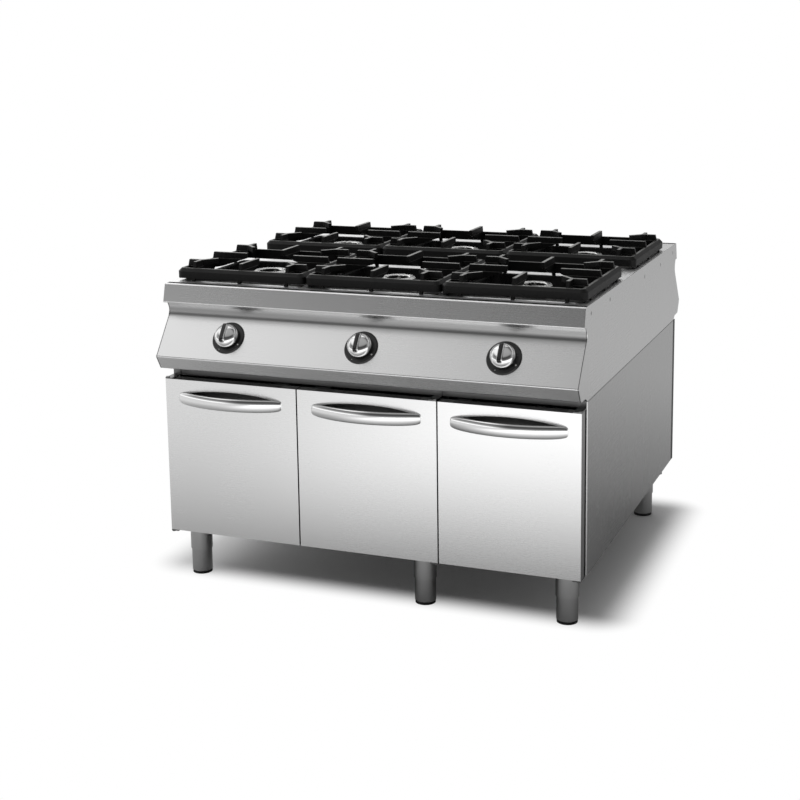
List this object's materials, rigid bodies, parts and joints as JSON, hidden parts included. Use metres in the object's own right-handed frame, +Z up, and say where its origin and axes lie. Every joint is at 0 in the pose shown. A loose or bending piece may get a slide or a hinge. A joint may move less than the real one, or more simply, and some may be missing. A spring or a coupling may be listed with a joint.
{
  "type": "commercial gas range",
  "caption": "Double-sided stainless restaurant gas range with open burners, lift-off cast-iron pan supports, sloping knob panels and a closed three-door cabinet on adjustable legs.",
  "frame": {"origin": "on the floor, at the centre of the cabinet's footprint", "axes": "X across the range to the right, -Y out of the front, Z up"},
  "size_m": [1.2, 1.2912, 0.904],
  "materials": {
    "brushed_stainless": "brushed",
    "black_coated_steel": "satin",
    "black_enamel": "vitreous enamel",
    "cast_aluminium": "as cast",
    "brass": "machined",
    "pipe_steel": "galvanised",
    "black_plastic": "moulded",
    "chrome": "polished",
    "crown_chrome": "machined",
    "cast_iron": "cast and enamelled"
  },
  "bodies": {
    "frame": {"worktop": "brushed_stainless", "burner_wells": "black_enamel", "control_panels": "brushed_stainless", "unit_side_panels": "brushed_stainless", "burner_bodies": "cast_aluminium", "flame_sensors": "brushed_stainless", "injectors": "brass", "gas_valves": "brass", "knob_bezels": "black_plastic", "supply_pipes": "pipe_steel", "gas_manifold": "pipe_steel", "cabinet_side_panels": "brushed_stainless", "cabinet_base": "brushed_stainless", "cabinet_rails": "brushed_stainless", "cabinet_ceiling": "brushed_stainless", "cabinet_partition": "brushed_stainless", "rear_spacer_bars": "black_coated_steel", "rear_panel": "brushed_stainless", "leg_sleeves": "brushed_stainless", "hinge_brackets": "brushed_stainless", "door_catches": "black_coated_steel"},
    "door_left": {"door_skin_left": "brushed_stainless", "door_liner_left": "brushed_stainless", "door_handle_left": "chrome"},
    "door_middle": {"door_skin_middle": "brushed_stainless", "door_liner_middle": "brushed_stainless", "door_handle_middle": "chrome"},
    "door_right": {"door_skin_right": "brushed_stainless", "door_liner_right": "brushed_stainless", "door_handle_right": "chrome"},
    "valve_spindle_front_left": {"valve_spindle_front_left": "brass"},
    "knob_front_left": {"knob_front_left": "chrome"},
    "pan_support_front_left": {"pan_support_front_left": "cast_iron"},
    "burner_crown_front_left": {"burner_crown_front_left": "crown_chrome"},
    "valve_spindle_front_middle": {"valve_spindle_front_middle": "brass"},
    "knob_front_middle": {"knob_front_middle": "chrome"},
    "pan_support_front_middle": {"pan_support_front_middle": "cast_iron"},
    "burner_crown_front_middle": {"burner_crown_front_middle": "crown_chrome"},
    "valve_spindle_front_right": {"valve_spindle_front_right": "brass"},
    "knob_front_right": {"knob_front_right": "chrome"},
    "pan_support_front_right": {"pan_support_front_right": "cast_iron"},
    "burner_crown_front_right": {"burner_crown_front_right": "crown_chrome"},
    "valve_spindle_rear_left": {"valve_spindle_rear_left": "brass"},
    "knob_rear_left": {"knob_rear_left": "chrome"},
    "pan_support_rear_left": {"pan_support_rear_left": "cast_iron"},
    "burner_crown_rear_left": {"burner_crown_rear_left": "crown_chrome"},
    "valve_spindle_rear_middle": {"valve_spindle_rear_middle": "brass"},
    "knob_rear_middle": {"knob_rear_middle": "chrome"},
    "pan_support_rear_middle": {"pan_support_rear_middle": "cast_iron"},
    "burner_crown_rear_middle": {"burner_crown_rear_middle": "crown_chrome"},
    "valve_spindle_rear_right": {"valve_spindle_rear_right": "brass"},
    "knob_rear_right": {"knob_rear_right": "chrome"},
    "pan_support_rear_right": {"pan_support_rear_right": "cast_iron"},
    "burner_crown_rear_right": {"burner_crown_rear_right": "crown_chrome"},
    "foot_front_left": {"foot_front_left": "brushed_stainless"},
    "foot_front_middle": {"foot_front_middle": "brushed_stainless"},
    "foot_front_right": {"foot_front_right": "brushed_stainless"},
    "foot_rear_left": {"foot_rear_left": "brushed_stainless"},
    "foot_rear_middle": {"foot_rear_middle": "brushed_stainless"},
    "foot_rear_right": {"foot_rear_right": "brushed_stainless"}
  },
  "joints": [
    {"name": "door_left_hinge", "type": "hinge", "parent": "frame", "child": "door_left", "pos_m": [-0.592, -0.589, 0.3633], "axis": [0, 0, -1], "range_deg": [0, 95]},
    {"name": "door_middle_hinge", "type": "hinge", "parent": "frame", "child": "door_middle", "pos_m": [0.204, -0.589, 0.3633], "axis": [0, 0, 1], "range_deg": [0, 95]},
    {"name": "door_right_hinge", "type": "hinge", "parent": "frame", "child": "door_right", "pos_m": [0.592, -0.589, 0.3633], "axis": [0, 0, 1], "range_deg": [0, 95]},
    {"name": "knob_push_front_left", "type": "slide", "parent": "frame", "child": "valve_spindle_front_left", "axis": [0, 0.8025, -0.5966], "range_m": [0, 0.003], "stiffness_N_per_m": 1500, "springref_m": -0.006},
    {"name": "knob_turn_front_left", "type": "hinge", "parent": "valve_spindle_front_left", "child": "knob_front_left", "pos_m": [-0.394, -0.59276, 0.71182], "axis": [0, -0.8025, 0.5966], "range_deg": [0, 210]},
    {"name": "pan_support_lift_front_left", "type": "slide", "parent": "frame", "child": "pan_support_front_left", "axis": [0, 0, 1], "range_m": [0, 0.15]},
    {"name": "burner_crown_lift_front_left", "type": "slide", "parent": "frame", "child": "burner_crown_front_left", "axis": [0, 0, 1], "range_m": [0, 0.12]},
    {"name": "knob_push_front_middle", "type": "slide", "parent": "frame", "child": "valve_spindle_front_middle", "axis": [0, 0.8025, -0.5966], "range_m": [0, 0.003], "stiffness_N_per_m": 1500, "springref_m": -0.006},
    {"name": "knob_turn_front_middle", "type": "hinge", "parent": "valve_spindle_front_middle", "child": "knob_front_middle", "pos_m": [0, -0.59276, 0.71182], "axis": [0, -0.8025, 0.5966], "range_deg": [0, 210]},
    {"name": "pan_support_lift_front_middle", "type": "slide", "parent": "frame", "child": "pan_support_front_middle", "axis": [0, 0, 1], "range_m": [0, 0.15]},
    {"name": "burner_crown_lift_front_middle", "type": "slide", "parent": "frame", "child": "burner_crown_front_middle", "axis": [0, 0, 1], "range_m": [0, 0.12]},
    {"name": "knob_push_front_right", "type": "slide", "parent": "frame", "child": "valve_spindle_front_right", "axis": [0, 0.8025, -0.5966], "range_m": [0, 0.003], "stiffness_N_per_m": 1500, "springref_m": -0.006},
    {"name": "knob_turn_front_right", "type": "hinge", "parent": "valve_spindle_front_right", "child": "knob_front_right", "pos_m": [0.394, -0.59276, 0.71182], "axis": [0, -0.8025, 0.5966], "range_deg": [0, 210]},
    {"name": "pan_support_lift_front_right", "type": "slide", "parent": "frame", "child": "pan_support_front_right", "axis": [0, 0, 1], "range_m": [0, 0.15]},
    {"name": "burner_crown_lift_front_right", "type": "slide", "parent": "frame", "child": "burner_crown_front_right", "axis": [0, 0, 1], "range_m": [0, 0.12]},
    {"name": "knob_push_rear_left", "type": "slide", "parent": "frame", "child": "valve_spindle_rear_left", "axis": [0, -0.8025, -0.5966], "range_m": [0, 0.003], "stiffness_N_per_m": 1500, "springref_m": -0.006},
    {"name": "knob_turn_rear_left", "type": "hinge", "parent": "valve_spindle_rear_left", "child": "knob_rear_left", "pos_m": [-0.394, 0.59276, 0.71182], "axis": [0, 0.8025, 0.5966], "range_deg": [0, 210]},
    {"name": "pan_support_lift_rear_left", "type": "slide", "parent": "frame", "child": "pan_support_rear_left", "axis": [0, 0, 1], "range_m": [0, 0.15]},
    {"name": "burner_crown_lift_rear_left", "type": "slide", "parent": "frame", "child": "burner_crown_rear_left", "axis": [0, 0, 1], "range_m": [0, 0.12]},
    {"name": "knob_push_rear_middle", "type": "slide", "parent": "frame", "child": "valve_spindle_rear_middle", "axis": [0, -0.8025, -0.5966], "range_m": [0, 0.003], "stiffness_N_per_m": 1500, "springref_m": -0.006},
    {"name": "knob_turn_rear_middle", "type": "hinge", "parent": "valve_spindle_rear_middle", "child": "knob_rear_middle", "pos_m": [0, 0.59276, 0.71182], "axis": [0, 0.8025, 0.5966], "range_deg": [0, 210]},
    {"name": "pan_support_lift_rear_middle", "type": "slide", "parent": "frame", "child": "pan_support_rear_middle", "axis": [0, 0, 1], "range_m": [0, 0.15]},
    {"name": "burner_crown_lift_rear_middle", "type": "slide", "parent": "frame", "child": "burner_crown_rear_middle", "axis": [0, 0, 1], "range_m": [0, 0.12]},
    {"name": "knob_push_rear_right", "type": "slide", "parent": "frame", "child": "valve_spindle_rear_right", "axis": [0, -0.8025, -0.5966], "range_m": [0, 0.003], "stiffness_N_per_m": 1500, "springref_m": -0.006},
    {"name": "knob_turn_rear_right", "type": "hinge", "parent": "valve_spindle_rear_right", "child": "knob_rear_right", "pos_m": [0.394, 0.59276, 0.71182], "axis": [0, 0.8025, 0.5966], "range_deg": [0, 210]},
    {"name": "pan_support_lift_rear_right", "type": "slide", "parent": "frame", "child": "pan_support_rear_right", "axis": [0, 0, 1], "range_m": [0, 0.15]},
    {"name": "burner_crown_lift_rear_right", "type": "slide", "parent": "frame", "child": "burner_crown_rear_right", "axis": [0, 0, 1], "range_m": [0, 0.12]},
    {"name": "foot_screw_front_left", "type": "slide", "parent": "frame", "child": "foot_front_left", "axis": [0, 0, -1], "range_m": [0, 0.02]},
    {"name": "foot_screw_front_middle", "type": "slide", "parent": "frame", "child": "foot_front_middle", "axis": [0, 0, -1], "range_m": [0, 0.02]},
    {"name": "foot_screw_front_right", "type": "slide", "parent": "frame", "child": "foot_front_right", "axis": [0, 0, -1], "range_m": [0, 0.02]},
    {"name": "foot_screw_rear_left", "type": "slide", "parent": "frame", "child": "foot_rear_left", "axis": [0, 0, -1], "range_m": [0, 0.02]},
    {"name": "foot_screw_rear_middle", "type": "slide", "parent": "frame", "child": "foot_rear_middle", "axis": [0, 0, -1], "range_m": [0, 0.02]},
    {"name": "foot_screw_rear_right", "type": "slide", "parent": "frame", "child": "foot_rear_right", "axis": [0, 0, -1], "range_m": [0, 0.02]}
  ]
}
